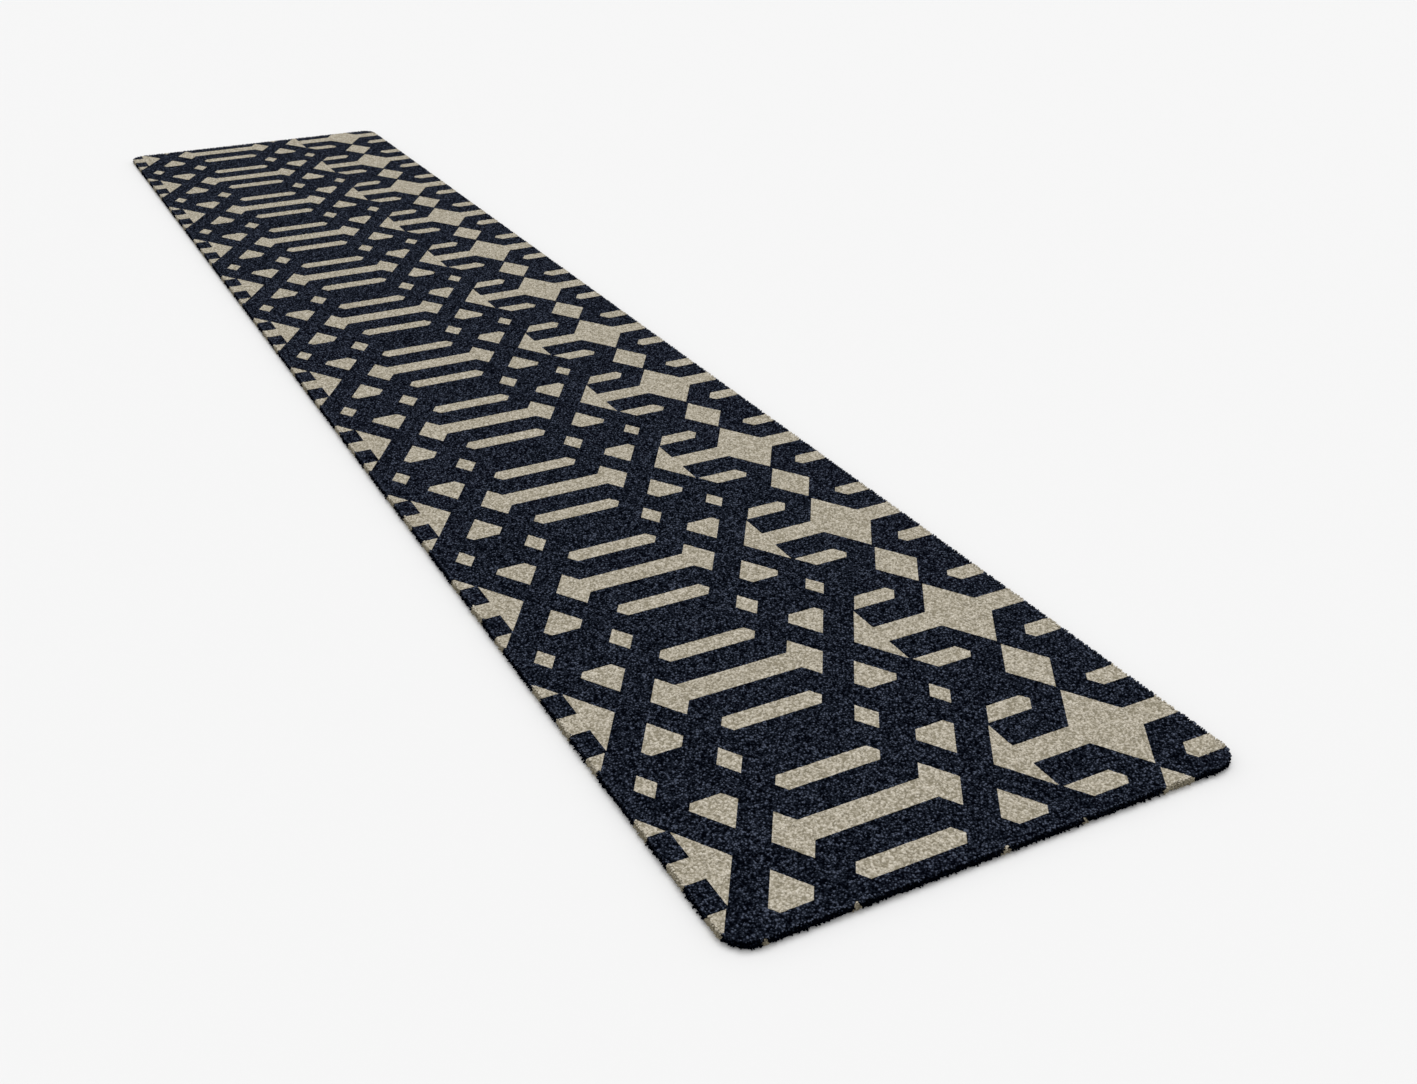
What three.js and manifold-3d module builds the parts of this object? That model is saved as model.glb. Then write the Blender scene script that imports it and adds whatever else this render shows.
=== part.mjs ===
// Runner rug: a long tufted rug with a cut pile in two yarns.
//
// Units are millimetres. The rug lies flat, +Z is up, its length runs along Y and its width along X.
// The origin is the middle of the underside.
//
// From the floor upwards the layers are:
//   canvas backing, framed by four hem tapes that two seams hold,
//   latex coat,
//   primary cloth, which the tufts are driven through,
//   feet of the motif yarn,
//   ground pile (navy) and motif pile (beige), side by side and cut to one height.

import * as THREE from 'three';
import { mergeVertices } from 'three/addons/utils/BufferGeometryUtils.js';
import Module from 'manifold-3d';

const wasm = await Module();
wasm.setup();

// ---- Driving dimensions ----------------------------------------------------------------------

const RUG_WIDTH = 780;
const RUG_LENGTH = 4000;
const CORNER_RADIUS = 40;

const GAP = 0.3;               // air left between neighbouring solids
const CANVAS_THICKNESS = 1.2;
const LATEX_THICKNESS = 0.7;
const CLOTH_THICKNESS = 0.7;
const FEET_THICKNESS = 0.6;
const GROUND_PILE_HEIGHT = 7.6;

const BACKING_INSET = 6;       // the pile spreads past every layer under it by this much
const FEET_INSET = 1;          // the motif yarn's feet reach almost to the rug's edge
const TAPE_WIDTH = 34;
const SEAM_WIDTH = 1.2;        // sewing thread, as laid in its groove
const SEAM_THICKNESS = 0.4;
const SEAM_MARGIN = 4;         // from each edge of the tape to the seam beside it

// The pattern mirrors about two lines that run along the rug and about lines that run across it.
const ARROW_LINE_X = -113.3;   // mirror line through the double-headed arrows
const STAR_LINE_X = 278.1;     // mirror line through the stars
const REPEAT_LENGTH = 345.2;   // from one row of arrows to the next
const FIRST_ROW = 144;         // from the near end to the first row of arrows
const SLANT = 1.6;             // rise over run of every slanted edge

const SHAFT_HALF = 22.4;       // half height of the arrows' shafts
const BAR_LOW = 80;            // bars run between these two heights beside each row
const BAR_HIGH = 115.4;

const TIGHTEST_CORNER = 6;     // radius left where an inner outline runs out of corner
const CORNER_SEGMENTS = 4;

// ---- Layer heights ---------------------------------------------------------------------------

const latexBottom = CANVAS_THICKNESS + GAP;
const clothBottom = latexBottom + LATEX_THICKNESS + GAP;
const feetBottom = clothBottom + CLOTH_THICKNESS + GAP;
const groundBottom = feetBottom + FEET_THICKNESS + GAP;
const pileTop = groundBottom + GROUND_PILE_HEIGHT;

const lineSpacing = STAR_LINE_X - ARROW_LINE_X;
const rowCount = Math.ceil((RUG_LENGTH - FIRST_ROW) / REPEAT_LENGTH);

// ---- Plane outlines --------------------------------------------------------------------------

// The rug's outline, drawn in from its edge by an inset.
function rugOutline(inset) {
  const halfWidth = RUG_WIDTH / 2 - inset;
  const halfLength = RUG_LENGTH / 2 - inset;
  const radius = Math.max(CORNER_RADIUS - inset, TIGHTEST_CORNER);
  const shape = new THREE.Shape();
  shape.absarc(halfWidth - radius, halfLength - radius, radius, 0, Math.PI / 2);
  shape.absarc(-halfWidth + radius, halfLength - radius, radius, Math.PI / 2, Math.PI);
  shape.absarc(-halfWidth + radius, -halfLength + radius, radius, Math.PI, 1.5 * Math.PI);
  shape.absarc(halfWidth - radius, -halfLength + radius, radius, 1.5 * Math.PI, 2 * Math.PI);
  shape.closePath();
  return shape;
}

// A loop that follows the rug's edge between two insets.
function rugLoop(outerInset, innerInset) {
  const loop = rugOutline(outerInset);
  loop.holes.push(rugOutline(innerInset));
  return loop;
}

const mirrorAcross = (outline, lineX) => outline.map(([x, y]) => [2 * lineX - x, y]).reverse();
const mirrorAlong = (outline) => outline.map(([x, y]) => [x, -y]).reverse();

// Moves every edge of an anticlockwise outline inwards by a distance, keeping its corners sharp.
function shrinkOutline(outline, distance) {
  return outline.map(([x, y], index) => {
    const [beforeX, beforeY] = outline.at(index - 1);
    const [afterX, afterY] = outline[(index + 1) % outline.length];
    const arriving = new THREE.Vector2(x - beforeX, y - beforeY).normalize();
    const leaving = new THREE.Vector2(afterX - x, afterY - y).normalize();
    const inwards = new THREE.Vector2(-arriving.y - leaving.y, arriving.x + leaving.x);
    const reach = distance / (1 + arriving.dot(leaving));
    return [x + inwards.x * reach, y + inwards.y * reach];
  });
}

// ---- Motifs ----------------------------------------------------------------------------------
// Each outline is anticlockwise, with x measured from the arrow line and y from its row of arrows.

function diamond(centreX, centreY, halfHeight) {
  const halfWidth = halfHeight / SLANT;
  return [
    [centreX, centreY - halfHeight],
    [centreX + halfWidth, centreY],
    [centreX, centreY + halfHeight],
    [centreX - halfWidth, centreY],
  ];
}

function doubleArrow() {
  const tip = 143.5;
  const headHalf = 51.6;
  const peak = tip - headHalf / SLANT;
  const joint = peak - (headHalf - SHAFT_HALF) / SLANT;
  return [
    [tip, 0], [peak, headHalf], [joint, SHAFT_HALF],
    [-joint, SHAFT_HALF], [-peak, headHalf], [-tip, 0],
    [-peak, -headHalf], [-joint, -SHAFT_HALF],
    [joint, -SHAFT_HALF], [peak, -headHalf],
  ];
}

function longBar() {
  const tip = 82;
  const middle = (BAR_LOW + BAR_HIGH) / 2;
  const corner = tip - (BAR_HIGH - middle) / SLANT;
  return [
    [-corner, BAR_LOW], [corner, BAR_LOW], [tip, middle],
    [corner, BAR_HIGH], [-corner, BAR_HIGH], [-tip, middle],
  ];
}

function kite() {
  const pointX = 170.3;
  const pointY = 43.5;
  const innerShoulder = 94.4;
  const outerShoulder = 101.8;
  const innerX = pointX - (innerShoulder - pointY) / SLANT;
  const outerX = pointX + (outerShoulder - pointY) / SLANT;
  return [
    [pointX, pointY],
    [outerX, outerShoulder],
    [outerX - (BAR_HIGH - outerShoulder) / SLANT, BAR_HIGH],
    [innerX + (BAR_HIGH - innerShoulder) / SLANT, BAR_HIGH],
    [innerX, innerShoulder],
  ];
}

// A big arrow head whose shaft runs out through a four-pointed star and past the rug's edge.
function starArrow() {
  const tip = 198.6;
  const barb = BAR_LOW - 2.4;
  const back = tip + barb / SLANT;
  const starTop = 98.8;
  const starHalf = (starTop - SHAFT_HALF) / SLANT;
  const shaftEnd = lineSpacing + RUG_WIDTH / 2;
  const upper = [
    [shaftEnd, SHAFT_HALF],
    [lineSpacing + starHalf, SHAFT_HALF],
    [lineSpacing, starTop],
    [lineSpacing - starHalf, SHAFT_HALF],
    [back, SHAFT_HALF],
    [back, barb],
  ];
  return [...upper, [tip, 0], ...mirrorAlong(upper)];
}

// The bar beside the star, slanted at its outer end to follow the big arrow head.
function shortBar() {
  const tip = lineSpacing - 52;
  const tipHeight = 101.8;
  const farCorner = 250.1;
  return [
    [farCorner, BAR_LOW],
    [tip - (tipHeight - BAR_LOW) / SLANT, BAR_LOW],
    [tip, tipHeight],
    [tip - (BAR_HIGH - tipHeight) / SLANT, BAR_HIGH],
    [farCorner + (BAR_HIGH - BAR_LOW) / SLANT, BAR_HIGH],
  ];
}

// Motifs that sit on a row of arrows, and those on either side of it.
function rowMotifs() {
  const beside = [
    longBar(),
    kite(),
    mirrorAcross(kite(), 0),
    shortBar(),
    mirrorAcross(shortBar(), 0),
    mirrorAcross(shortBar(), lineSpacing),
  ];
  return [doubleArrow(), starArrow(), mirrorAcross(starArrow(), 0), ...beside, ...beside.map(mirrorAlong)];
}

// Diamonds that lie halfway between two rows of arrows.
function betweenMotifs() {
  const inner = diamond(109.2, 0, 32.3);
  const outer = diamond(233.9, 0, 28);
  const large = diamond(lineSpacing, 0, 65.1);
  return [inner, mirrorAcross(inner, 0), outer, mirrorAcross(outer, 0), large];
}

// Every motif of the rug, drawn in by the air gap on all sides.
function motifShapes(distance) {
  const shapes = [];
  const addMotifs = (motifs, centreY) => {
    for (const outline of motifs) {
      const points = shrinkOutline(outline, distance)
        .map(([x, y]) => new THREE.Vector2(x + ARROW_LINE_X, y + centreY));
      shapes.push(new THREE.Shape(points));
    }
  };
  const firstRowY = -RUG_LENGTH / 2 + FIRST_ROW;
  for (let row = 0; row < rowCount; row += 1) {
    const rowY = firstRowY + row * REPEAT_LENGTH;
    addMotifs(betweenMotifs(), rowY - REPEAT_LENGTH / 2);
    addMotifs(rowMotifs(), rowY);
  }
  return shapes;
}

// ---- Solids ----------------------------------------------------------------------------------

// Extrudes one or more plane shapes between two heights.
function prism(shapes, bottom, top) {
  const options = { depth: top - bottom, bevelEnabled: false, curveSegments: CORNER_SEGMENTS };
  const geometry = new THREE.ExtrudeGeometry(shapes, options);
  geometry.translate(0, 0, bottom);
  return geometry;
}

function solidFrom(geometry) {
  const bare = geometry.clone();
  bare.deleteAttribute('normal');
  bare.deleteAttribute('uv');
  const merged = mergeVertices(bare);
  const mesh = new wasm.Mesh({
    numProp: 3,
    vertProperties: new Float32Array(merged.attributes.position.array),
    triVerts: new Uint32Array(merged.index.array),
  });
  return new wasm.Manifold(mesh);
}

function geometryFrom(solid) {
  const { vertProperties, triVerts } = solid.getMesh();
  const geometry = new THREE.BufferGeometry();
  geometry.setAttribute('position', new THREE.BufferAttribute(vertProperties, 3));
  geometry.setIndex(new THREE.BufferAttribute(triVerts, 1));
  geometry.computeVertexNormals();
  return geometry;
}

// Navy pile: a slab with an opening for every motif. The last row of arrows is cut through by the
// far end, which leaves small patches of navy closed in between its motifs and the edge. The
// field comes first and the patches follow it from left to right.
function groundPiles() {
  const cutMargin = 1;
  const slab = solidFrom(prism(rugOutline(0), groundBottom, pileTop));
  const openings = solidFrom(prism(motifShapes(0), groundBottom - cutMargin, pileTop + cutMargin));
  const bodies = slab.subtract(openings).decompose();
  bodies.sort((one, other) => other.volume() - one.volume());
  const [field, ...patches] = bodies;
  patches.sort((one, other) => one.boundingBox().min[0] - other.boundingBox().min[0]);
  return [field, ...patches].map(geometryFrom);
}

// Beige pile: the motifs stand on one thin layer of their own yarn's feet, which runs under the
// navy pile and makes them a single body.
function motifPile() {
  const feet = solidFrom(prism(rugOutline(FEET_INSET), feetBottom, feetBottom + FEET_THICKNESS));
  const wholeRug = solidFrom(prism(rugOutline(0), feetBottom, pileTop));
  const motifs = solidFrom(prism(motifShapes(GAP), feetBottom, pileTop));
  return geometryFrom(motifs.intersect(wholeRug).add(feet));
}

const primaryCloth = () => prism(rugOutline(BACKING_INSET), clothBottom, clothBottom + CLOTH_THICKNESS);

const latexCoat = () => prism(rugOutline(BACKING_INSET), latexBottom, latexBottom + LATEX_THICKNESS);

const canvasBacking = () => prism(rugOutline(BACKING_INSET + TAPE_WIDTH + GAP), 0, CANVAS_THICKNESS);

// The seams lie at these insets from the rug's edge.
const seamInsets = {
  outer: BACKING_INSET + SEAM_MARGIN,
  inner: BACKING_INSET + TAPE_WIDTH - SEAM_MARGIN - SEAM_WIDTH,
};

function seam(inset) {
  return prism(rugLoop(inset, inset + SEAM_WIDTH), GAP, GAP + SEAM_THICKNESS);
}

// Plane areas that share the tape out between the four sides, parted along the corners' diagonals.
function tapeAreas() {
  const halfWidth = RUG_WIDTH / 2;
  const halfLength = RUG_LENGTH / 2;
  const reach = BACKING_INSET + TAPE_WIDTH + CORNER_RADIUS;
  const left = [
    [-halfWidth, halfLength],
    [-halfWidth, -halfLength],
    [-halfWidth + reach, -halfLength + reach],
    [-halfWidth + reach, halfLength - reach],
  ];
  const near = [
    [-halfWidth, -halfLength],
    [halfWidth, -halfLength],
    [halfWidth - reach, -halfLength + reach],
    [-halfWidth + reach, -halfLength + reach],
  ];
  return { left, right: mirrorAcross(left, 0), near, far: mirrorAlong(near) };
}

// One of the four cotton tapes that frame the canvas, with a groove pulled into it by each seam.
function hemTape(area) {
  const [bottom, top] = [0, CANVAS_THICKNESS];
  const corners = shrinkOutline(area, GAP / 2).map(([x, y]) => new THREE.Vector2(x, y));
  const side = solidFrom(prism(new THREE.Shape(corners), bottom, top));
  const frame = solidFrom(prism(rugLoop(BACKING_INSET, BACKING_INSET + TAPE_WIDTH), bottom, top));
  let tape = frame.intersect(side);
  for (const inset of Object.values(seamInsets)) {
    const groove = rugLoop(inset - GAP, inset + SEAM_WIDTH + GAP);
    tape = tape.subtract(solidFrom(prism(groove, bottom - GAP, GAP + SEAM_THICKNESS + GAP)));
  }
  return geometryFrom(tape);
}

// ---- Materials -------------------------------------------------------------------------------

const fabric = (color, roughness) => new THREE.MeshStandardMaterial({ color, roughness, metalness: 0 });

const navyYarn = fabric(0x1e212b, 0.95);
const beigeYarn = fabric(0xa7a193, 0.95);
const clothWeave = fabric(0xc9c2b0, 0.9);
const latex = fabric(0xd8d2bd, 0.7);
const canvasWeave = fabric(0xb9b1a0, 0.9);
const tapeWeave = fabric(0x23262f, 0.85);
const thread = fabric(0x2c303a, 0.6);

// ---- Assembly --------------------------------------------------------------------------------

const rug = new THREE.Group();

function addPiece(name, geometry, material) {
  const mesh = new THREE.Mesh(geometry, material);
  mesh.name = name;
  rug.add(mesh);
}

groundPiles().forEach((geometry, index) => {
  addPiece(index === 0 ? 'ground_pile' : `ground_patch_${index}`, geometry, navyYarn);
});
addPiece('motif_pile', motifPile(), beigeYarn);
addPiece('primary_cloth', primaryCloth(), clothWeave);
addPiece('latex_coat', latexCoat(), latex);
addPiece('canvas_backing', canvasBacking(), canvasWeave);
for (const [side, area] of Object.entries(tapeAreas())) {
  addPiece(`hem_tape_${side}`, hemTape(area), tapeWeave);
}
addPiece('seam_outer', seam(seamInsets.outer), thread);
addPiece('seam_inner', seam(seamInsets.inner), thread);

export default rug;
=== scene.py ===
# A runner rug with a cut pile in two yarns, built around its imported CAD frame. Units are metres.
import math

import bpy
import numpy as np
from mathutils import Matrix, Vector


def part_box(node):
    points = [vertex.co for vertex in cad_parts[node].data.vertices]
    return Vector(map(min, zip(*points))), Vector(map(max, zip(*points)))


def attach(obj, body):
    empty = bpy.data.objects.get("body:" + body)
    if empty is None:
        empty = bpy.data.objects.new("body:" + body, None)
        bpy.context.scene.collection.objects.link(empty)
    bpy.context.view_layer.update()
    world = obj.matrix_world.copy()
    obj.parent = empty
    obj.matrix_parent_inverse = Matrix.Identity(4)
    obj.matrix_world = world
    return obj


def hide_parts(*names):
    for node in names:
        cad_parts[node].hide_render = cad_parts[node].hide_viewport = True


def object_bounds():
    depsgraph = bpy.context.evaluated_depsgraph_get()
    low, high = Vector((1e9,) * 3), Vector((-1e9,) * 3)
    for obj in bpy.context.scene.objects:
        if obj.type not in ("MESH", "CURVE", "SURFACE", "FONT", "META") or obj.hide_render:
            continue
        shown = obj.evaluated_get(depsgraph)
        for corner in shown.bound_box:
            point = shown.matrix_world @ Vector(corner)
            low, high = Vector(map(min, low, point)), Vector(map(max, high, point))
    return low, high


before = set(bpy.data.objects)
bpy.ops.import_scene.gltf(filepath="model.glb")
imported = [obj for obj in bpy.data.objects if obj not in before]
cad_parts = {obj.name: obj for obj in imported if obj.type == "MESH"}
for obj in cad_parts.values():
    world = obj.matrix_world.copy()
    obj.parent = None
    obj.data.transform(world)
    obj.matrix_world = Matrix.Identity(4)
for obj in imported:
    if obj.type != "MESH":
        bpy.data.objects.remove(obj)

CAD_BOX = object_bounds()
MM = 0.001

# ---- Driving dimensions --------------------------------------------------------------------------

# The pile's top, a mesh of tuft ends.
TUFT_STEP = 2.5 * MM
TUFT_SHAKE = 0.3                   # sideways play of the ends that lie on no motif's edge, in steps
TUFT_HEIGHT_SPREAD = 0.85 * MM
TUFT_HEIGHT_LIMITS = (-2.2, 1.6)   # deepest and highest end, in spreads
PILE_SINK = 0.7 * MM               # mean depth of the ends below the CAD pile's top
EDGE_UNEVENNESS = 0.3              # share of the height spread that is left along a motif's edge
EDGE_REACH = 0.5                   # how near a motif's edge a mesh point is moved onto it, in steps
SECTIONS = 5                       # lengths that the pile is cut into, each with a piece in either yarn

# The yarns' shading: painted shade between the yarn ends, and clumps of random tone.
ENDS_PER_METRE = 280               # yarn ends that are drawn across a metre
GRAIN_PER_METRE = 95               # clumps of tufts that are lighter or darker together

# The pile's rim. Its profile runs from the top down and in under the rug, and says how far out past the
# CAD edge each ring of points lies, at what share of the rug's height, and how uneven it is.
RIM_START = 1.4 * MM               # the pile's top ends this far inside the CAD edge
LOWEST_TUFT = 0.6 * MM             # no part of the rim hangs lower than this
RIM_PROFILE = [
    (-0.4 * MM, 0.82, 1.0),
    (0.1 * MM, 0.64, 1.0),
    (0.3 * MM, 0.46, 1.0),
    (0.1 * MM, 0.28, 1.0),
    (-0.5 * MM, 0.13, 0.7),
    (-8.0 * MM, 0.1, 0.0),
]
RIM_SPREAD = 1.1 * MM
RIM_HEIGHT_SPREAD = 0.5 * MM
RIM_SIDE_SPREAD = 0.8 * MM

# Single tufts that stand out of the rim: rows by share of the rug's height and by rise in degrees.
TUFT_ROWS = [(0.84, 62), (0.66, 38), (0.46, 18), (0.26, 2)]
TUFT_PITCH = 4.6 * MM
TUFT_PITCH_PLAY = 0.4              # either way, in pitches
TUFT_RISE_SPREAD = 12              # degrees
TUFT_LEAN_SPREAD = 0.35            # sideways, per unit of length
TUFT_LENGTH = 5.8 * MM
TUFT_LENGTH_RANGE = (0.75, 1.2)
TUFT_RADIUS = 1.5 * MM
TUFT_RADIUS_RANGE = (0.75, 1.25)
TUFT_SIDES = 5
TUFT_PROFILE = [(0.0, 0.9), (0.62, 1.0), (0.93, 0.62)]   # share of the length, and of the radius there
TUFT_ROOT_INSET = 2.6 * MM         # from the CAD edge in to a tuft's root

# The pattern mirrors about two lines along the rug, and about its first and last rows of arrows.
ARROW_LINE_X = -113.3 * MM
STAR_LINE_X = 278.1 * MM
ROW_FROM_NEAR_END = 144 * MM
ROW_FROM_FAR_END = 58.8 * MM

# Backing layers and hem tapes.
CLOTH_STEP = 24 * MM               # spacing of a sheet's mesh points outside its corners
CORNER_STEPS = 5                   # in half of a rounded corner on a tape, and in a whole one on a layer
TIGHTEST_CORNER = 6 * MM           # no run of tape or seam turns a corner more tightly
SHEET_UNEVENNESS = 0.06 * MM
TAPE_WIDTH = 34 * MM
TAPE_COLUMNS = 5

# Seams.
SEAM_MARGIN = 4 * MM               # from each edge of the tape to the seam beside it
STITCH_PITCH = 7 * MM
STITCH_LENGTH = 5.5 * MM
STITCH_LIFT = 0.4 * MM             # room under the tapes for the stitches
# Places along a stitch, in halves of its length, and the share of the thread's radius at each.
STITCH_PROFILE = [(-1.0, 0.25), (-0.7, 0.9), (0.0, 1.0), (0.7, 0.9), (1.0, 0.25)]
THREAD_RADIUS = 0.34 * MM
THREAD_SIDES = 6

GROUND_NODES = ["ground_pile", "ground_patch_1", "ground_patch_2", "ground_patch_3"]
SIDES = ["right", "far", "left", "near"]
TOLERANCE = 0.01 * MM
MATCHED_DECIMALS = 3               # of a millimetre, when corners of the CAD motifs are matched

random = np.random.default_rng(20)


# ---- Camera, light and floor ---------------------------------------------------------------------

def make_camera():
    """From beside the near end, looking down along the rug. Lens and sensor are in millimetres."""
    lens = 38.56
    sensor_width = 36
    beside, before, above = 1.0153, 1.1294, 1.2380
    heading = math.radians(62.24)
    pitch = math.radians(28.47)
    data = bpy.data.cameras.new("camera")
    data.sensor_fit = "HORIZONTAL"
    data.sensor_width = sensor_width
    data.lens = lens
    camera = bpy.data.objects.new("camera", data)
    near_end_y = CAD_BOX[0].y
    camera.location = (-beside, near_end_y - before, above)
    camera.rotation_euler = (math.pi / 2 - pitch, 0, heading - math.pi / 2)
    bpy.context.scene.collection.objects.link(camera)
    bpy.context.scene.camera = camera


def make_light():
    """Even white surroundings and one soft sun from the far right."""
    sky_strength = 0.9
    sun_strength = 1.35
    sun_spread = math.radians(35)
    sun_direction = Vector((0.55, 0.75, 1.5))
    world = bpy.data.worlds.new("studio")
    bpy.context.scene.world = world
    world.use_nodes = True
    background = world.node_tree.nodes["Background"]
    background.inputs["Color"].default_value = (1, 1, 1, 1)
    background.inputs["Strength"].default_value = sky_strength
    sun = bpy.data.lights.new("sun", "SUN")
    sun.energy = sun_strength
    sun.angle = sun_spread
    lamp = bpy.data.objects.new("sun", sun)
    lamp.rotation_euler = sun_direction.to_track_quat("Z", "Y").to_euler()
    bpy.context.scene.collection.objects.link(lamp)


def make_floor():
    """A pale floor that runs out to the horizon."""
    reach = 40
    shade = 0.73
    roughness = 0.9
    gloss = 0.1
    mesh = bpy.data.meshes.new("floor")
    corners = [(-reach, -reach, 0), (reach, -reach, 0), (reach, reach, 0), (-reach, reach, 0)]
    mesh.from_pydata(corners, [], [(0, 1, 2, 3)])
    floor = bpy.data.objects.new("floor", mesh)
    bpy.context.scene.collection.objects.link(floor)
    material = bpy.data.materials.new("floor")
    material.use_nodes = True
    shader = material.node_tree.nodes["Principled BSDF"]
    shader.inputs["Base Color"].default_value = (shade, shade, shade, 1)
    shader.inputs["Roughness"].default_value = roughness
    shader.inputs["Specular IOR Level"].default_value = gloss
    mesh.materials.append(material)


# ---- Material nodes ------------------------------------------------------------------------------

NOISE_RANGE = (0.3, 0.7)           # most of a noise texture's values lie between these
WAVE_SCALE = math.pi / 10          # scale at which a wave texture has one wave per metre


class Nodes:
    """A material's node tree, with short calls for the nodes that the cloths and yarns share."""

    def __init__(self, name):
        self.material = bpy.data.materials.new(name)
        self.material.use_nodes = True
        self.tree = self.material.node_tree
        self.shader = self.tree.nodes["Principled BSDF"]
        self.place = self.tree.nodes.new("ShaderNodeTexCoord").outputs["Object"]

    def link(self, value, socket):
        if isinstance(value, bpy.types.NodeSocket):
            self.tree.links.new(value, socket)
        else:
            socket.default_value = value

    def math(self, operation, first, second):
        node = self.tree.nodes.new("ShaderNodeMath")
        node.operation = operation
        self.link(first, node.inputs[0])
        self.link(second, node.inputs[1])
        return node.outputs[0]

    def stretched(self, scale, turn=0.0):
        """Object coordinates multiplied by a scale on each axis, turned about Z."""
        node = self.tree.nodes.new("ShaderNodeMapping")
        node.inputs["Scale"].default_value = scale
        node.inputs["Rotation"].default_value = (0, 0, turn)
        self.link(self.place, node.inputs["Vector"])
        return node.outputs[0]

    def noise(self, scale, detail, roughness=0.5, vector=None):
        node = self.tree.nodes.new("ShaderNodeTexNoise")
        node.inputs["Scale"].default_value = scale
        node.inputs["Detail"].default_value = detail
        node.inputs["Roughness"].default_value = roughness
        self.link(vector or self.place, node.inputs["Vector"])
        return node.outputs["Fac"]

    def cells(self, scale):
        """Distance from the nearest cell's centre, and a random value for each cell."""
        node = self.tree.nodes.new("ShaderNodeTexVoronoi")
        node.inputs["Scale"].default_value = scale
        self.link(self.place, node.inputs["Vector"])
        parts = self.tree.nodes.new("ShaderNodeSeparateColor")
        self.link(node.outputs["Color"], parts.inputs[0])
        return node.outputs["Distance"], parts.outputs[0]

    def wave(self, vector, direction):
        node = self.tree.nodes.new("ShaderNodeTexWave")
        node.bands_direction = direction
        node.inputs["Scale"].default_value = 1.0
        self.link(vector, node.inputs["Vector"])
        return node.outputs["Fac"]

    def spread(self, value, source, target=(0.0, 1.0)):
        """A value carried from one range over to another, and held at its ends."""
        node = self.tree.nodes.new("ShaderNodeMapRange")
        for socket, number in zip(node.inputs[:5], (value, *source, *target)):
            self.link(number, socket)
        return node.outputs[0]

    def ramp(self, value, stops):
        """Colours at places from 0 to 1."""
        node = self.tree.nodes.new("ShaderNodeValToRGB")
        elements = node.color_ramp.elements
        anywhere = 0.5
        while len(elements) < len(stops):
            elements.new(anywhere)
        for element, (place, colour) in zip(elements, stops):
            element.position = place
            element.color = (*colour, 1)
        self.link(value, node.inputs[0])
        return node.outputs[0]

    def height(self):
        """How high a point lies in the pile, in metres."""
        node = self.tree.nodes.new("ShaderNodeSeparateXYZ")
        self.link(self.place, node.inputs[0])
        return node.outputs[2]

    def finish(self, colour, roughness, relief, strength, depth, gloss):
        """Links the shader's sockets. The relief stands in for threads too fine to model."""
        bump = self.tree.nodes.new("ShaderNodeBump")
        bump.inputs["Strength"].default_value = strength
        bump.inputs["Distance"].default_value = depth
        self.link(relief, bump.inputs["Height"])
        self.link(bump.outputs[0], self.shader.inputs["Normal"])
        self.link(colour, self.shader.inputs["Base Color"])
        self.link(roughness, self.shader.inputs["Roughness"])
        self.shader.inputs["Specular IOR Level"].default_value = gloss
        return self.material


def about(middle, reach):
    """A range that reaches equally far to either side of its middle."""
    return middle - reach, middle + reach


def make_yarn(name, shaded_gap, body, light, contrast):
    """Cut pile: yarn ends of slightly different shade, with painted shade between them, deeper in the
    pile and down their sides.
    """
    gap_and_middle = (0.62, 0.12)      # distance from an end's centre, in cells
    # Painted shade down the pile's wall, darkest at its foot.
    wall_shade_heights = (2 * MM, PILE_TOP)
    wall_shade_tones = (0.0, 0.42)
    # Painted shade deeper in the pile, fading out on the highest ends.
    depth_shade_heights = (PILE_TOP - 3.2 * MM, PILE_TOP + 0.4 * MM)
    shade_factors = about(0.91, 0.19 * contrast)
    # Painted shade between the yarn ends, lighter in their middles.
    gap_shade_tones = about(-0.06, 0.28 * contrast)
    grain_tones = about(0, 0.20 * contrast)
    grain_relief = 0.6
    nodes = Nodes(name)
    distance, shade = nodes.cells(ENDS_PER_METRE)
    end = nodes.spread(distance, gap_and_middle)
    grain = nodes.noise(GRAIN_PER_METRE, detail=5, roughness=0.8)
    height = nodes.height()
    wall = nodes.spread(height, wall_shade_heights, wall_shade_tones)
    tone = nodes.math("MAXIMUM", wall, nodes.spread(height, depth_shade_heights))
    tone = nodes.math("MULTIPLY", tone, nodes.spread(shade, (0, 1), shade_factors))
    tone = nodes.math("ADD", tone, nodes.spread(end, (0, 1), gap_shade_tones))
    tone = nodes.math("ADD", tone, nodes.spread(grain, NOISE_RANGE, grain_tones))
    # The ramp runs from the painted shade in gaps and at the wall's foot, through the yarn's own colour,
    # to its lightest ends.
    colour = nodes.ramp(tone, [(0.16, shaded_gap), (0.6, body), (1.0, light)])
    roughness = nodes.spread(grain, NOISE_RANGE, (0.82, 1.0))
    relief = nodes.math("ADD", end, nodes.math("MULTIPLY", grain, grain_relief))
    return nodes.finish(colour, roughness, relief, strength=0.7, depth=1.0 * MM, gloss=0.0)


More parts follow.
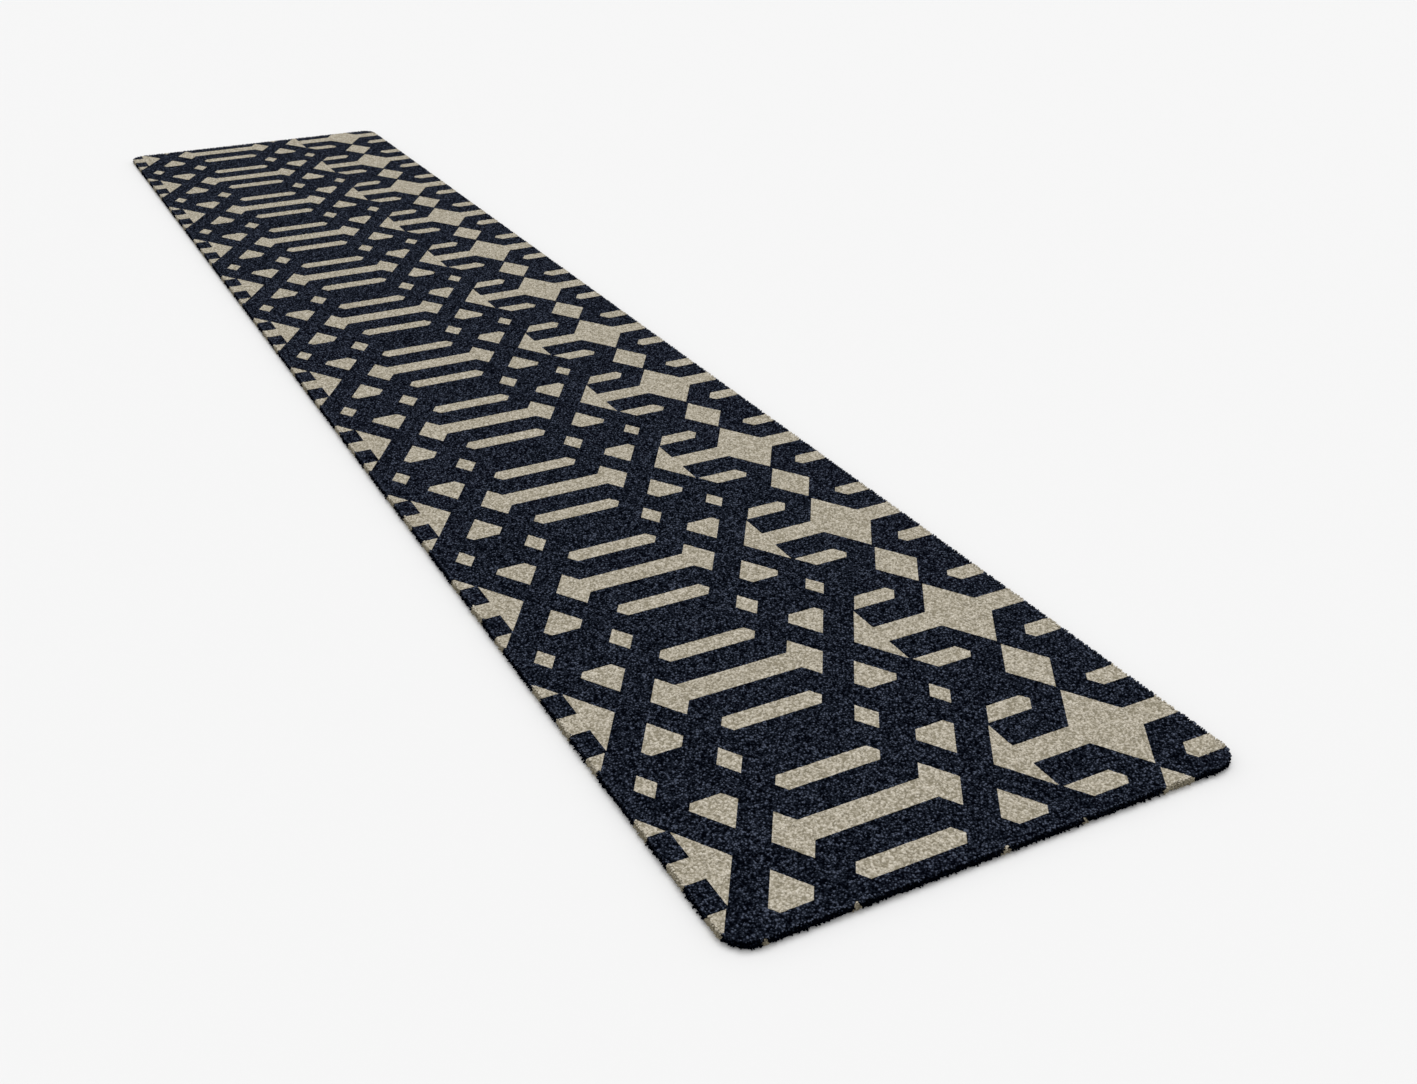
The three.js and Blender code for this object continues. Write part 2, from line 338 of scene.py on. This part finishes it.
def make_weave(name, dark, light, threads_per_metre, turn=0.0):
    """Plain weave of round threads, with slubs along them."""
    slubs_per_metre = (60, 900, 60)
    stains_per_metre = 9
    scale = threads_per_metre * WAVE_SCALE
    nodes = Nodes(name)
    grid = nodes.stretched((scale, scale, scale), turn)
    threads = nodes.math("MAXIMUM", nodes.wave(grid, "X"), nodes.wave(grid, "Y"))
    slubs = nodes.noise(1.0, detail=3, vector=nodes.stretched(slubs_per_metre, turn))
    stains = nodes.noise(stains_per_metre, detail=3)
    tone = nodes.math("MULTIPLY", threads, nodes.spread(slubs, NOISE_RANGE, (0.55, 1.0)))
    tone = nodes.math("ADD", tone, nodes.spread(stains, NOISE_RANGE, about(0, 0.12)))
    colour = nodes.ramp(tone, [(0.1, dark), (0.95, light)])
    roughness = nodes.spread(slubs, NOISE_RANGE, (0.8, 0.98))
    return nodes.finish(colour, roughness, tone, strength=0.6, depth=0.4 * MM, gloss=0.15)


def make_latex():
    """Foamed latex, spread by a blade: small pores and faint drag marks."""
    pores_per_metre = 420
    pore_and_film = (0.05, 0.3)        # distance from a pore's centre, in cells
    drag_marks_per_metre = (260, 12, 60)
    dark, light = (0.34, 0.29, 0.19), (0.69, 0.64, 0.50)
    nodes = Nodes("latex")
    distance, _ = nodes.cells(pores_per_metre)
    film = nodes.spread(distance, pore_and_film)
    drag = nodes.noise(1.0, detail=4, vector=nodes.stretched(drag_marks_per_metre))
    tone = nodes.math("MULTIPLY", film, nodes.spread(drag, NOISE_RANGE, (0.7, 1.0)))
    colour = nodes.ramp(tone, [(0.0, dark), (1.0, light)])
    roughness = nodes.spread(drag, NOISE_RANGE, (0.5, 0.75))
    return nodes.finish(colour, roughness, tone, strength=0.5, depth=0.3 * MM, gloss=0.15)


# ---- Mesh building -------------------------------------------------------------------------------

def make_piece(name, points, faces, material, slot, *nodes):
    """A smooth mesh piece that rides on the rug's one body and stands for CAD nodes. Points that no
    face uses are left out."""
    used, indices = np.unique(faces, return_inverse=True)
    mesh = bpy.data.meshes.new(name)
    mesh.from_pydata(points[used].tolist(), [], indices.reshape(faces.shape).tolist())
    mesh.shade_smooth()
    mesh.materials.append(material)
    piece = bpy.data.objects.new(name, mesh)
    bpy.context.scene.collection.objects.link(piece)
    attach(piece, "root")
    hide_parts(*nodes)
    return piece


def corner_radius(node):
    """Radius of a CAD layer's rounded corners, from where its far edge stops being straight."""
    _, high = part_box(node)
    points = np.array([v.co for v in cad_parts[node].data.vertices])
    on_far_edge = points[:, 1] > high.y - TOLERANCE
    return high.x - points[on_far_edge, 0].max()


def rounded(points, half_width, half_length, radius):
    """Moves the points of a rectangle's four corner squares into quarter discs of that radius."""
    inner = np.array([half_width - radius, half_length - radius])
    past = np.maximum(np.abs(points) - inner, 0)
    reach = np.hypot(past[..., 0], past[..., 1])
    in_corner = (past > 0).all(axis=-1)
    pull = np.ones(reach.shape)
    pull[in_corner] = past.max(axis=-1)[in_corner] / reach[in_corner]
    return np.sign(points) * (np.minimum(np.abs(points), inner) + past * pull[..., None])


def grid_points(half_width, half_length, step):
    """A rectangle's mesh points, as rows along X stacked along Y."""
    columns = round(2 * half_width / step) + 1
    rows = round(2 * half_length / step) + 1
    x, y = np.meshgrid(np.linspace(-half_width, half_width, columns),
                       np.linspace(-half_length, half_length, rows))
    return np.stack([x, y], axis=-1)


def grid_faces(rows, columns):
    index = np.arange(rows * columns).reshape(rows, columns)
    corners = (index[:-1, :-1], index[:-1, 1:], index[1:, 1:], index[1:, :-1])
    return np.stack(corners, axis=-1).reshape(-1, 4)


def rim_loop(rows, columns):
    """Indices of a grid's outermost points, anticlockwise seen from above."""
    index = np.arange(rows * columns).reshape(rows, columns)
    sides = (index[0, :-1], index[:-1, -1], index[-1, :0:-1], index[:0:-1, 0])
    return np.concatenate(sides)


def strip_faces(upper, lower):
    """Quads between two closed loops of point indices, facing out when the loops run anticlockwise."""
    return np.stack([upper, lower, np.roll(lower, -1), np.roll(upper, -1)], axis=-1)


def triangles_of(quads, along_first):
    """Two triangles for each quad, split between its first and third corner or the other two."""
    a, b, c, d = quads.T
    one = np.stack([a, b, np.where(along_first, c, d)], axis=-1)
    other = np.stack([np.where(along_first, a, b), c, d], axis=-1)
    return np.stack([one, other], axis=1).reshape(-1, 3)


def by_chance(count):
    """True or false for each, half and half."""
    return random.random(count) < 0.5


def unit(vectors):
    return vectors / np.linalg.norm(vectors, axis=-1, keepdims=True)


def turned_left(directions):
    """XY directions turned a quarter turn anticlockwise."""
    return np.stack([-directions[..., 1], directions[..., 0]], axis=-1)


def travelled_along(run):
    """Distance from the start of a run of places to each of them."""
    steps = np.linalg.norm(np.diff(run, axis=0), axis=1)
    return np.concatenate([[0], np.cumsum(steps)])


def places_at(spots, travelled, run):
    """XY places at distances along a run."""
    return np.stack([np.interp(spots, travelled, run[:, axis]) for axis in range(2)], axis=-1)


def closed(loop):
    """A loop of places with its first one again at its end."""
    return np.concatenate([loop, loop[:1]])


# ---- Sizes read from the frame -------------------------------------------------------------------

PILE_TOP = CAD_BOX[1].z
PILE_RADIUS = corner_radius("primary_cloth") + CAD_BOX[1].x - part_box("primary_cloth")[1].x
TAPE_INSET = CAD_BOX[1].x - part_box("hem_tape_right")[1].x


# ---- The pattern, read from the CAD motifs -------------------------------------------------------

def motif_tops():
    """Triangles of the motif pile's top, each as three XY corners."""
    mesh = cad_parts["motif_pile"].data
    points = np.array([v.co for v in mesh.vertices])
    faces = np.array([p.vertices for p in mesh.polygons])
    on_top = (points[faces][:, :, 2] > PILE_TOP - TOLERANCE).all(axis=1)
    return points[faces[on_top]][:, :, :2]


def motif_edges(triangles):
    """Segments that bound the motifs: the sides that only one top triangle has."""
    seen = {}
    for triangle in np.round(triangles / MM, MATCHED_DECIMALS):
        corners = [tuple(corner) for corner in triangle]
        for start, end in zip(corners, corners[1:] + corners[:1]):
            key = (min(start, end), max(start, end))
            seen[key] = seen.get(key, 0) + 1
    return np.array([side for side, count in seen.items() if count == 1]) * MM


def left_of(start, end, places):
    """Positive for places to the left of a line from start to end, and negative to its right."""
    along = end - start
    return along[0] * (places[:, 1] - start[1]) - along[1] * (places[:, 0] - start[0])


def in_motif(places, triangles):
    """Whether each XY place lies in one of the triangles. Places are sorted along Y first, so that each
    triangle is tested only against the places in its own band."""
    inside = np.zeros(len(places), bool)
    order = np.argsort(places[:, 1])
    sorted_y = places[order, 1]
    for corners in triangles:
        first = np.searchsorted(sorted_y, corners[:, 1].min())
        last = np.searchsorted(sorted_y, corners[:, 1].max(), "right")
        band = order[first:last]
        sides = [left_of(start, end, places[band])
                 for start, end in zip(corners, np.roll(corners, -1, axis=0))]
        inside[band] |= (np.min(sides, axis=0) >= 0) | (np.max(sides, axis=0) <= 0)
    return inside


def mirrored(places):
    """Places beyond the rug's edges, moved to where the pattern inside is the same."""
    x, y = places.T
    near_row = CAD_BOX[0].y + ROW_FROM_NEAR_END
    far_row = CAD_BOX[1].y - ROW_FROM_FAR_END
    x = np.where(x < CAD_BOX[0].x, 2 * ARROW_LINE_X - x, x)
    x = np.where(x > CAD_BOX[1].x, 2 * STAR_LINE_X - x, x)
    y = np.where(y < CAD_BOX[0].y, 2 * near_row - y, y)
    y = np.where(y > CAD_BOX[1].y, 2 * far_row - y, y)
    return np.stack([x, y], axis=-1)


def settle_on_edge(places, settled, start, end, low, size):
    """Moves the grid's points that lie nearest to one edge of a motif onto it. The grid starts at low,
    and its cells have the given size."""
    first = np.floor((np.minimum(start, end) - low) / size).astype(int) - 1
    last = np.ceil((np.maximum(start, end) - low) / size).astype(int) + 2
    window = (slice(max(first[1], 0), last[1]), slice(max(first[0], 0), last[0]))
    block = places[window]
    along = end - start
    reach = EDGE_REACH * TUFT_STEP * np.abs(along).max() / np.linalg.norm(along)
    share = ((block - start) @ along) / (along @ along)
    foot = start + share[..., None] * along
    close = (np.linalg.norm(block - foot, axis=-1) < reach) & (share > 0) & (share < 1)
    block[close] = foot[close]
    settled[window] |= close


def settle_on_edges(places, edges):
    """Settles the grid on the motifs' edges and corners, so that the pattern's lines stay crisp, and
    returns which points were moved."""
    rows, columns = places.shape[:2]
    settled = np.zeros((rows, columns), bool)
    low = places.min(axis=(0, 1))
    size = (places.max(axis=(0, 1)) - low) / np.array([columns - 1, rows - 1])
    for start, end in edges:
        settle_on_edge(places, settled, start, end, low, size)
    corners = np.round(edges.reshape(-1, 2) / MM, MATCHED_DECIMALS)
    for corner in np.unique(corners, axis=0) * MM:
        column, row = np.round((corner - low) / size).astype(int)
        if 0 < row < rows - 1 and 0 < column < columns - 1:
            places[row, column] = corner
            settled[row, column] = True
    return settled


# ---- Pile ----------------------------------------------------------------------------------------

class Surface:
    """Points and triangles that are gathered part by part. Each triangle has a place in the pattern
    that it takes its yarn from."""

    def __init__(self):
        self.points = np.zeros((0, 3))
        self.faces = np.zeros((0, 3), int)
        self.pattern = np.zeros((0, 2))

    def add_points(self, points):
        """Adds points and returns their indices."""
        first = len(self.points)
        self.points = np.concatenate([self.points, points])
        return np.arange(first, len(self.points))

    def add_faces(self, faces, pattern):
        self.faces = np.concatenate([self.faces, faces])
        self.pattern = np.concatenate([self.pattern, pattern])


def outward_from(edge):
    """Directions out of the rug at each place of its anticlockwise edge, smoothed over a few places."""
    neighbours = 3
    along = unit(np.roll(edge, -neighbours, axis=0) - np.roll(edge, neighbours, axis=0))
    return -turned_left(along)


def tuft_places(triangles):
    """Places of the tufts of the pile's top, and which of them lie on a motif's edge."""
    half_width, half_length = CAD_BOX[1].x - RIM_START, CAD_BOX[1].y - RIM_START
    grid = grid_points(half_width, half_length, TUFT_STEP)
    places = rounded(grid, half_width, half_length, PILE_RADIUS - RIM_START)
    settled = settle_on_edges(places, motif_edges(triangles))
    loose = ~settled
    loose[[0, -1]] = False
    loose[:, [0, -1]] = False
    shake = random.uniform(-TUFT_SHAKE, TUFT_SHAKE, places.shape) * TUFT_STEP
    return places + shake * loose[..., None], settled


def add_top(surface, places, settled):
    """The pile's uneven top. Its quads are split along the motifs' edges, and elsewhere by chance."""
    heights = random.normal(0, 1, settled.shape).clip(*TUFT_HEIGHT_LIMITS) * TUFT_HEIGHT_SPREAD
    heights[settled] *= EDGE_UNEVENNESS
    level = PILE_TOP - PILE_SINK + heights
    surface.add_points(np.concatenate([places, level[..., None]], axis=-1).reshape(-1, 3))
    quads = grid_faces(*settled.shape)
    a, b, c, d = settled.reshape(-1)[quads].T
    on_a_diagonal = (a & c) | (b & d)
    faces = triangles_of(quads, np.where(on_a_diagonal, a & c, by_chance(len(quads))))
    surface.add_faces(faces, places.reshape(-1, 2)[faces].mean(axis=1))


def add_rim(surface, loop, edge):
    """The pile's wall, ring by ring from the top's outermost points down. The pattern runs on down the
    wall as if the wall lay flat beside the top."""
    outward = outward_from(edge)
    upper = loop
    for out, share, uneven in RIM_PROFILE:
        reach = RIM_START + out + random.normal(0, RIM_SPREAD * uneven, len(loop))
        level = PILE_TOP * share + random.normal(0, RIM_HEIGHT_SPREAD * uneven, len(loop))
        slide = random.normal(0, RIM_SIDE_SPREAD * uneven, len(loop))
        ring = edge + outward * reach[:, None] + turned_left(outward) * slide[:, None]
        lower = surface.add_points(np.column_stack([ring, np.maximum(level, LOWEST_TUFT)]))
        faces = triangles_of(strip_faces(upper, lower), by_chance(len(loop)))
        centres = surface.points[faces].mean(axis=1)
        depth = PILE_TOP - centres[:, 2:]
        surface.add_faces(faces, centres[:, :2] + np.repeat(outward, 2, axis=0) * depth)
        upper = lower


def tuft_axes(outward, rise):
    """Directions of a row of tufts, which rise more or less and lean to either side by chance."""
    steep = np.radians(rise + random.normal(0, TUFT_RISE_SPREAD, len(outward)))[:, None]
    lean = random.normal(0, TUFT_LEAN_SPREAD, len(outward))[:, None]
    level = outward * np.cos(steep) + turned_left(outward) * lean
    return unit(np.column_stack([level, np.sin(steep)]))


def add_tufts(surface, edge, share, rise):
    """One row of single tufts round the rim."""
    run = closed(edge)
    travelled = travelled_along(run)
    count = round(travelled[-1] / TUFT_PITCH)
    turns = (np.arange(count) + random.uniform(-TUFT_PITCH_PLAY, TUFT_PITCH_PLAY, count)) / count
    spots = turns % 1 * travelled[-1]
    outward = outward_from(edge)[np.searchsorted(travelled, spots, "right") - 1]
    axis = tuft_axes(outward, rise)
    length = TUFT_LENGTH * random.uniform(*TUFT_LENGTH_RANGE, (count, 1))
    radius = TUFT_RADIUS * random.uniform(*TUFT_RADIUS_RANGE, (count, 1))
    foot = places_at(spots, travelled, run) + outward * (RIM_START - TUFT_ROOT_INSET)
    root = np.column_stack([foot, np.full(count, PILE_TOP * share)])
    across = np.column_stack([turned_left(outward), np.zeros(count)])
    points = tuft_points(root, axis, across, length, radius)
    index = surface.add_points(points.reshape(-1, 3)).reshape(points.shape[:2])
    faces = tuft_faces(index)
    pattern = foot + outward * (TUFT_ROOT_INSET + PILE_TOP * (1 - share))
    surface.add_faces(faces.reshape(-1, 3), np.repeat(pattern, faces.shape[1], axis=0))


def tuft_points(root, axis, across, length, radius):
    """Points of short blunt cones, one cone a row: rings from the root up, and then the end."""
    other = unit(np.cross(axis, across))
    angles = np.arange(TUFT_SIDES) * 2 * math.pi / TUFT_SIDES
    circle = across[:, None] * np.cos(angles)[:, None] + other[:, None] * np.sin(angles)[:, None]
    rings = [(root + axis * length * travel)[:, None] + circle * (radius * width)[:, None]
             for travel, width in TUFT_PROFILE]
    end = (root + axis * length)[:, None]
    points = np.concatenate([*rings, end], axis=1)
    points[..., 2] = points[..., 2].clip(LOWEST_TUFT, PILE_TOP + TUFT_HEIGHT_SPREAD)
    return points


def tuft_faces(index):
    """Triangles of each cone, from the indices of its points."""
    rings = index[:, :-1].reshape(len(index), len(TUFT_PROFILE), TUFT_SIDES)
    ahead = np.roll(rings, -1, axis=2)
    end = np.broadcast_to(index[:, -1:], (len(index), TUFT_SIDES))
    parts = [
        np.stack([rings[:, :-1], ahead[:, :-1], rings[:, 1:]], axis=-1),
        np.stack([ahead[:, :-1], ahead[:, 1:], rings[:, 1:]], axis=-1),
        np.stack([rings[:, -1], ahead[:, -1], end], axis=-1),
    ]
    return np.concatenate([part.reshape(len(index), -1, 3) for part in parts], axis=1)


def make_pile(navy, beige):
    """The pile as separate pieces: each length of the rug has one in either yarn."""
    triangles = motif_tops()
    places, settled = tuft_places(triangles)
    surface = Surface()
    add_top(surface, places, settled)
    loop = rim_loop(*settled.shape)
    edge = places.reshape(-1, 2)[loop]
    add_rim(surface, loop, edge)
    for share, rise in TUFT_ROWS:
        add_tufts(surface, edge, share, rise)
    is_motif = in_motif(mirrored(surface.pattern), triangles)
    middle_y = surface.points[surface.faces][:, :, 1].mean(axis=1)
    cuts = np.linspace(CAD_BOX[0].y, CAD_BOX[1].y, SECTIONS + 1)[1:-1]
    section = np.searchsorted(cuts, middle_y)
    yarns = [
        ("navy_pile", navy, "navy_yarn", ~is_motif, GROUND_NODES),
        ("beige_pile", beige, "beige_yarn", is_motif, ["motif_pile"]),
    ]
    pieces = []
    for number in range(SECTIONS):
        for name, material, slot, wanted, nodes in yarns:
            faces = surface.faces[wanted & (section == number)]
            numbered = f"{name}_{number + 1}"
            pieces.append(make_piece(numbered, surface.points, faces, material, slot, *nodes))
    return pieces


# ---- Backing layers, hem tapes and seams ---------------------------------------------------------

def make_sheet(name, node, places, material, slot, lift=0.0):
    """A closed sheet as thick as a CAD layer over a grid of places, faintly uneven on both sides."""
    low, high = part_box(node)
    flat = places.reshape(-1, 2)
    uneven = random.uniform(0, SHEET_UNEVENNESS, (2, len(flat)))
    under = np.column_stack([flat, low.z + lift + uneven[0]])
    over = np.column_stack([flat, high.z - uneven[1]])
    quads = grid_faces(*places.shape[:2])
    loop = rim_loop(*places.shape[:2])
    faces = [quads[:, ::-1], quads + len(flat), strip_faces(loop + len(flat), loop)]
    return make_piece(name, np.concatenate([under, over]), np.concatenate(faces), material, slot, node)


def grid_lines(half, radius):
    """Places across a rectangle's side, closer together within the rounded corners."""
    corner = np.linspace(half, half - radius, CORNER_STEPS + 1)
    steps = round(2 * (half - radius) / CLOTH_STEP)
    straight = np.linspace(radius - half, half - radius, steps + 1)
    return np.concatenate([-corner[:-1], straight, corner[-2::-1]])


def make_layer(name, node, material, slot):
    """A rectangular layer of the backing."""
    _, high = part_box(node)
    radius = corner_radius(node)
    x, y = np.meshgrid(grid_lines(high.x, radius), grid_lines(high.y, radius))
    places = rounded(np.stack([x, y], axis=-1), high.x, high.y, radius)
    return make_sheet(name, node, places, material, slot)


def side_run(side, inset):
    """Places along one side of the rug at an inset from its edge, from one corner's middle to the
    next, anticlockwise. Sides are counted from the right one."""
    half = np.array(CAD_BOX[1][:2]) - inset
    radius = max(PILE_RADIUS - inset, TIGHTEST_CORNER)
    signs = [(1, -1), (1, 1), (-1, 1), (-1, -1)]
    start = (half - radius) * signs[side]
    end = (half - radius) * signs[(side + 1) % len(SIDES)]
    steps = round(2 * half[(side + 1) % 2] / CLOTH_STEP)
    bend = np.linspace(0, math.pi / 4, CORNER_STEPS + 1)
    facing = side * math.pi / 2
    angles = facing + np.concatenate([-bend[::-1], np.zeros(steps - 1), bend])
    straight = np.linspace(0, 1, steps + 1)[1:-1]
    shares = np.concatenate([np.zeros(len(bend)), straight, np.ones(len(bend))])
    outward = np.column_stack([np.cos(angles), np.sin(angles)])
    return start + (end - start) * shares[:, None] + radius * outward


def resampled(run, count):
    """The same run of places with another number of points, evenly spaced by their order."""
    return places_at(np.linspace(0, len(run) - 1, count), np.arange(len(run)), run)


def make_tape(side, material):
    """One hem tape, mitred at the rug's corners."""
    outer = side_run(side, TAPE_INSET)
    inner = side_run(side, TAPE_INSET + TAPE_WIDTH)
    count = min(len(outer), len(inner))
    outer, inner = resampled(outer, count), resampled(inner, count)
    across = np.linspace(0, 1, TAPE_COLUMNS)[:, None, None]
    places = (outer + (inner - outer) * across)[:, ::-1]
    name, node = "tape_" + SIDES[side], "hem_tape_" + SIDES[side]
    return make_sheet(name, node, places, material, "tape_weave", STITCH_LIFT)


def stitch_points(centre, travelled, run):
    """Rings of points round one stitch, from end to end. It lies on the plane that the rug lies on."""
    angles = np.arange(THREAD_SIDES) * 2 * math.pi / THREAD_SIDES
    rings = []
    for share, thickness in STITCH_PROFILE:
        spot = centre + share * STITCH_LENGTH / 2
        middle, ahead = places_at([spot, spot + MM], travelled, run)
        across = THREAD_RADIUS * thickness * np.cos(angles)
        level = THREAD_RADIUS * (1 + thickness * np.sin(angles))
        ring = middle + across[:, None] * turned_left(unit(ahead - middle))
        rings.append(np.column_stack([ring, level]))
    return np.concatenate(rings)


def make_seam(name, node, inset, material):
    """A row of lockstitches all round the hem: short rods of thread, thicker in their middles."""
    run = closed(np.concatenate([side_run(side, inset)[:-1] for side in range(len(SIDES))]))
    travelled = travelled_along(run)
    count = round(travelled[-1] / STITCH_PITCH)
    centres = np.arange(count) * travelled[-1] / count
    points = np.concatenate([stitch_points(centre, travelled, run) for centre in centres])
    index = np.arange(len(points)).reshape(count, len(STITCH_PROFILE), THREAD_SIDES)
    faces = [strip_faces(ring, next_ring)
             for stitch in index for ring, next_ring in zip(stitch, stitch[1:])]
    return make_piece(name, points, np.concatenate(faces), material, "thread", node)


# ---- The scene -----------------------------------------------------------------------------------

bpy.context.scene.view_settings.view_transform = "Standard"
make_camera()
make_light()
make_floor()

# Each yarn's colours: painted shade for the gaps between its ends and the foot of its wall, its own
# colour, and its lightest ends.
navy_shades = (0.0007, 0.0011, 0.0027), (0.0122, 0.0155, 0.0245), (0.072, 0.085, 0.120)
beige_shades = (0.225, 0.200, 0.146), (0.437, 0.398, 0.323), (0.580, 0.538, 0.457)
canvas_shades = (0.24, 0.21, 0.16), (0.50, 0.46, 0.37)
cloth_shades = (0.35, 0.32, 0.25), (0.62, 0.58, 0.48)
tape_shades = (0.008, 0.009, 0.012), (0.030, 0.034, 0.045)
thread_shades = (0.012, 0.013, 0.018), (0.050, 0.056, 0.075)
diagonal = math.pi / 4
navy = make_yarn("navy_yarn", *navy_shades, contrast=1.25)
beige = make_yarn("beige_yarn", *beige_shades, contrast=1.05)
canvas = make_weave("canvas_weave", *canvas_shades, threads_per_metre=550)
cloth = make_weave("cloth_weave", *cloth_shades, threads_per_metre=800)
twill = make_weave("tape_weave", *tape_shades, threads_per_metre=900, turn=diagonal)
sewing = make_weave("thread", *thread_shades, threads_per_metre=3000, turn=diagonal)

pile = make_pile(navy, beige)
latex_coat = make_layer("latex_coat_layer", "latex_coat", make_latex(), "latex")
primary_cloth = make_layer("primary_cloth_layer", "primary_cloth", cloth, "cloth_weave")
canvas_backing = make_layer("canvas_layer", "canvas_backing", canvas, "canvas_weave")
tapes = [make_tape(side, twill) for side in range(len(SIDES))]
seams = [
    make_seam("outer_stitches", "seam_outer", TAPE_INSET + SEAM_MARGIN, sewing),
    make_seam("inner_stitches", "seam_inner", TAPE_INSET + TAPE_WIDTH - SEAM_MARGIN, sewing),
]
